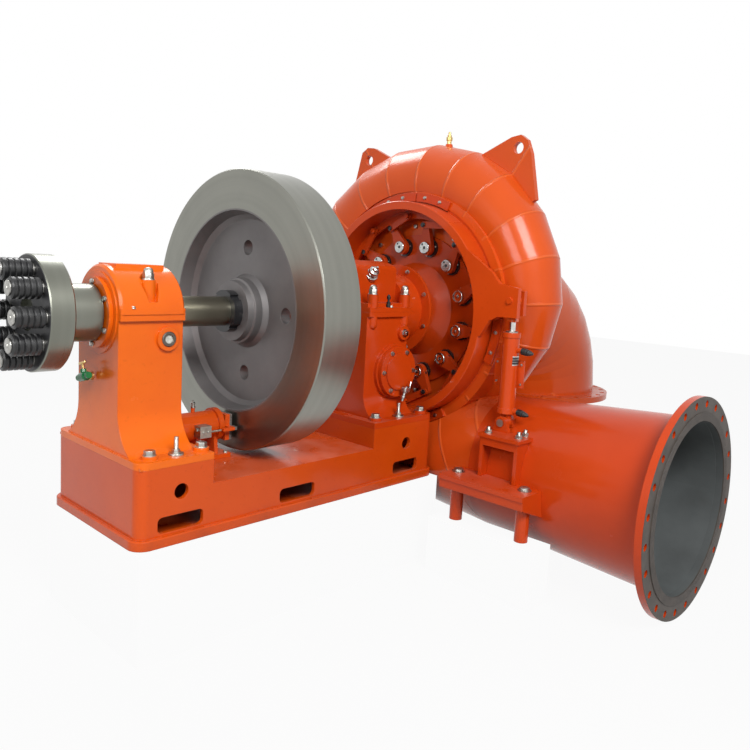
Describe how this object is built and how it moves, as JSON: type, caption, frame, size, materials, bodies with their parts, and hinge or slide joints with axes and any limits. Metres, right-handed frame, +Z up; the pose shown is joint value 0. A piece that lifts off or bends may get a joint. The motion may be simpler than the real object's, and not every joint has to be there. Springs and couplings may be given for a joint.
{
  "type": "horizontal spiral case water turbine set with flywheel",
  "caption": "Horizontal spiral case water turbine with guide vane ring, servo, draft elbow, flywheel, brake and two bearing pedestals on a base; pin coupling drives a generator.",
  "frame": {"origin": "centre of the base frame's bottom face", "axes": "+X along the shaft from the coupling to the turbine, -Y the way the inlet flange faces, +Z up"},
  "size_m": [4.0995, 2.5956, 2.2805],
  "materials": {
    "orange_enamel": "gloss",
    "polished_steel": "satin",
    "flywheel_steel": "turned",
    "buffer_rubber": "satin",
    "black_steel": "blacked",
    "brass": "satin",
    "zinc_steel": "zinc",
    "lining": "matte",
    "sight_glass": "clear"
  },
  "bodies": {
    "frame": {"air_valve": "zinc_steel", "base_frame": "orange_enamel", "brake_cylinder": "orange_enamel", "brake_valve": "zinc_steel", "case_foot": "orange_enamel", "case_inlet": "orange_enamel", "draft_cone": "orange_enamel", "draft_elbow": "orange_enamel", "front_bearing_cap": "orange_enamel", "front_drain_cock": "brass", "front_end_cover": "orange_enamel", "front_pedestal": "orange_enamel", "front_sight_glass": "sight_glass", "head_cover": "orange_enamel", "inlet_flange": "orange_enamel", "inlet_pipe": "orange_enamel", "inner_covers": "orange_enamel", "lifting_lugs": "orange_enamel", "rear_bearing_cap": "orange_enamel", "rear_end_cover": "orange_enamel", "rear_oil_cock": "brass", "rear_pedestal": "orange_enamel", "rear_side_cover": "orange_enamel", "ring_keepers": "orange_enamel", "servo_stand": "orange_enamel", "spiral_case": "orange_enamel", "stem_bushes": "black_steel"},
    "rotor": {"shaft": "polished_steel", "coupling_disc": "polished_steel", "coupling_pins": "buffer_rubber", "flywheel": "flywheel_steel", "flywheel_nut": "black_steel"},
    "brake": {"brake_shoe": "lining"},
    "gate_ring": {"regulating_ring": "orange_enamel"},
    "vane_01": {"guide_vane_01": "orange_enamel"},
    "gate_link_01": {"link_01": "orange_enamel"},
    "vane_02": {"guide_vane_02": "orange_enamel"},
    "gate_link_02": {"link_02": "orange_enamel"},
    "vane_03": {"guide_vane_03": "orange_enamel"},
    "gate_link_03": {"link_03": "orange_enamel"},
    "vane_04": {"guide_vane_04": "orange_enamel"},
    "gate_link_04": {"link_04": "orange_enamel"},
    "vane_05": {"guide_vane_05": "orange_enamel"},
    "gate_link_05": {"link_05": "orange_enamel"},
    "vane_06": {"guide_vane_06": "orange_enamel"},
    "gate_link_06": {"link_06": "orange_enamel"},
    "vane_07": {"guide_vane_07": "orange_enamel"},
    "gate_link_07": {"link_07": "orange_enamel"},
    "vane_08": {"guide_vane_08": "orange_enamel"},
    "gate_link_08": {"link_08": "orange_enamel"},
    "vane_09": {"guide_vane_09": "orange_enamel"},
    "gate_link_09": {"link_09": "orange_enamel"},
    "vane_10": {"guide_vane_10": "orange_enamel"},
    "gate_link_10": {"link_10": "orange_enamel"},
    "vane_11": {"guide_vane_11": "orange_enamel"},
    "gate_link_11": {"link_11": "orange_enamel"},
    "vane_12": {"guide_vane_12": "orange_enamel"},
    "gate_link_12": {"link_12": "orange_enamel"},
    "servo_barrel": {"servo_cylinder": "orange_enamel"},
    "servo_ram": {"servo_rod": "polished_steel"}
  },
  "joints": [
    {"name": "rotor_spin", "type": "hinge", "parent": "frame", "child": "rotor", "pos_m": [0, 0, 0.85], "axis": [1, 0, 0], "continuous": true},
    {"name": "brake_slide", "type": "slide", "parent": "frame", "child": "brake", "axis": [1, 0, 0], "range_m": [0, 0.009]},
    {"name": "ring_turn", "type": "hinge", "parent": "frame", "child": "gate_ring", "pos_m": [0.987, 0, 0.85], "axis": [1, 0, 0], "range_deg": [-3, 3]},
    {"name": "vane_turn_01", "type": "hinge", "parent": "frame", "child": "vane_01", "pos_m": [1.01, -0.09266, 1.1958], "axis": [1, 0, 0], "range_deg": [-11.5, 11.5]},
    {"name": "link_turn_01", "type": "hinge", "parent": "vane_01", "child": "gate_link_01", "pos_m": [0.981, -0.08629, 1.32015], "axis": [1, 0, 0], "range_deg": [-6.5, 6.5]},
    {"name": "vane_turn_02", "type": "hinge", "parent": "frame", "child": "vane_02", "pos_m": [1.01, -0.25314, 1.10314], "axis": [1, 0, 0], "range_deg": [-11.5, 11.5]},
    {"name": "link_turn_02", "type": "hinge", "parent": "vane_02", "child": "gate_link_02", "pos_m": [0.981, -0.3098, 1.21402], "axis": [1, 0, 0], "range_deg": [-6.5, 6.5]},
    {"name": "vane_turn_03", "type": "hinge", "parent": "frame", "child": "vane_03", "pos_m": [1.01, -0.3458, 0.94266], "axis": [1, 0, 0], "range_deg": [-11.5, 11.5]},
    {"name": "link_turn_03", "type": "hinge", "parent": "vane_03", "child": "gate_link_03", "pos_m": [0.981, -0.4503, 1.01035], "axis": [1, 0, 0], "range_deg": [-6.5, 6.5]},
    {"name": "vane_turn_04", "type": "hinge", "parent": "frame", "child": "vane_04", "pos_m": [1.01, -0.3458, 0.75734], "axis": [1, 0, 0], "range_deg": [-11.5, 11.5]},
    {"name": "link_turn_04", "type": "hinge", "parent": "vane_04", "child": "gate_link_04", "pos_m": [0.981, -0.47015, 0.76371], "axis": [1, 0, 0], "range_deg": [-6.5, 6.5]},
    {"name": "vane_turn_05", "type": "hinge", "parent": "frame", "child": "vane_05", "pos_m": [1.01, -0.25314, 0.59686], "axis": [1, 0, 0], "range_deg": [-11.5, 11.5]},
    {"name": "link_turn_05", "type": "hinge", "parent": "vane_05", "child": "gate_link_05", "pos_m": [0.981, -0.36401, 0.5402], "axis": [1, 0, 0], "range_deg": [-6.5, 6.5]},
    {"name": "vane_turn_06", "type": "hinge", "parent": "frame", "child": "vane_06", "pos_m": [1.01, -0.09266, 0.5042], "axis": [1, 0, 0], "range_deg": [-11.5, 11.5]},
    {"name": "link_turn_06", "type": "hinge", "parent": "vane_06", "child": "gate_link_06", "pos_m": [0.981, -0.16035, 0.3997], "axis": [1, 0, 0], "range_deg": [-6.5, 6.5]},
    {"name": "vane_turn_07", "type": "hinge", "parent": "frame", "child": "vane_07", "pos_m": [1.01, 0.09266, 0.5042], "axis": [1, 0, 0], "range_deg": [-11.5, 11.5]},
    {"name": "link_turn_07", "type": "hinge", "parent": "vane_07", "child": "gate_link_07", "pos_m": [0.981, 0.08629, 0.37985], "axis": [1, 0, 0], "range_deg": [-6.5, 6.5]},
    {"name": "vane_turn_08", "type": "hinge", "parent": "frame", "child": "vane_08", "pos_m": [1.01, 0.25314, 0.59686], "axis": [1, 0, 0], "range_deg": [-11.5, 11.5]},
    {"name": "link_turn_08", "type": "hinge", "parent": "vane_08", "child": "gate_link_08", "pos_m": [0.981, 0.3098, 0.48599], "axis": [1, 0, 0], "range_deg": [-6.5, 6.5]},
    {"name": "vane_turn_09", "type": "hinge", "parent": "frame", "child": "vane_09", "pos_m": [1.01, 0.3458, 0.75734], "axis": [1, 0, 0], "range_deg": [-11.5, 11.5]},
    {"name": "link_turn_09", "type": "hinge", "parent": "vane_09", "child": "gate_link_09", "pos_m": [0.981, 0.4503, 0.68965], "axis": [1, 0, 0], "range_deg": [-6.5, 6.5]},
    {"name": "vane_turn_10", "type": "hinge", "parent": "frame", "child": "vane_10", "pos_m": [1.01, 0.3458, 0.94266], "axis": [1, 0, 0], "range_deg": [-11.5, 11.5]},
    {"name": "link_turn_10", "type": "hinge", "parent": "vane_10", "child": "gate_link_10", "pos_m": [0.981, 0.47015, 0.93629], "axis": [1, 0, 0], "range_deg": [-6.5, 6.5]},
    {"name": "vane_turn_11", "type": "hinge", "parent": "frame", "child": "vane_11", "pos_m": [1.01, 0.25314, 1.10314], "axis": [1, 0, 0], "range_deg": [-11.5, 11.5]},
    {"name": "link_turn_11", "type": "hinge", "parent": "vane_11", "child": "gate_link_11", "pos_m": [0.981, 0.36401, 1.1598], "axis": [1, 0, 0], "range_deg": [-6.5, 6.5]},
    {"name": "vane_turn_12", "type": "hinge", "parent": "frame", "child": "vane_12", "pos_m": [1.01, 0.09266, 1.1958], "axis": [1, 0, 0], "range_deg": [-11.5, 11.5]},
    {"name": "link_turn_12", "type": "hinge", "parent": "vane_12", "child": "gate_link_12", "pos_m": [0.981, 0.16035, 1.3003], "axis": [1, 0, 0], "range_deg": [-6.5, 6.5]},
    {"name": "servo_swing", "type": "hinge", "parent": "frame", "child": "servo_barrel", "pos_m": [0.899, -0.755, 0.352], "axis": [1, 0, 0], "range_deg": [-0.6, 0.6]},
    {"name": "ram_slide", "type": "slide", "parent": "servo_barrel", "child": "servo_ram", "axis": [0, 0, 1], "range_m": [-0.041, 0.041]}
  ],
  "couplings": [
    {"joint": "vane_turn_01", "follows": "ring_turn", "ratio": 3.7786},
    {"joint": "link_turn_01", "follows": "ring_turn", "ratio": -2.0252},
    {"joint": "vane_turn_02", "follows": "ring_turn", "ratio": 3.7786},
    {"joint": "link_turn_02", "follows": "ring_turn", "ratio": -2.0252},
    {"joint": "vane_turn_03", "follows": "ring_turn", "ratio": 3.7786},
    {"joint": "link_turn_03", "follows": "ring_turn", "ratio": -2.0252},
    {"joint": "vane_turn_04", "follows": "ring_turn", "ratio": 3.7786},
    {"joint": "link_turn_04", "follows": "ring_turn", "ratio": -2.0252},
    {"joint": "vane_turn_05", "follows": "ring_turn", "ratio": 3.7786},
    {"joint": "link_turn_05", "follows": "ring_turn", "ratio": -2.0252},
    {"joint": "vane_turn_06", "follows": "ring_turn", "ratio": 3.7786},
    {"joint": "link_turn_06", "follows": "ring_turn", "ratio": -2.0252},
    {"joint": "vane_turn_07", "follows": "ring_turn", "ratio": 3.7786},
    {"joint": "link_turn_07", "follows": "ring_turn", "ratio": -2.0252},
    {"joint": "vane_turn_08", "follows": "ring_turn", "ratio": 3.7786},
    {"joint": "link_turn_08", "follows": "ring_turn", "ratio": -2.0252},
    {"joint": "vane_turn_09", "follows": "ring_turn", "ratio": 3.7786},
    {"joint": "link_turn_09", "follows": "ring_turn", "ratio": -2.0252},
    {"joint": "vane_turn_10", "follows": "ring_turn", "ratio": 3.7786},
    {"joint": "link_turn_10", "follows": "ring_turn", "ratio": -2.0252},
    {"joint": "vane_turn_11", "follows": "ring_turn", "ratio": 3.7786},
    {"joint": "link_turn_11", "follows": "ring_turn", "ratio": -2.0252},
    {"joint": "vane_turn_12", "follows": "ring_turn", "ratio": 3.7786},
    {"joint": "link_turn_12", "follows": "ring_turn", "ratio": -2.0252},
    {"joint": "servo_swing", "follows": "ring_turn", "ratio": 0.1672},
    {"joint": "ram_slide", "follows": "ring_turn", "m_per_rad": -0.7549}
  ]
}
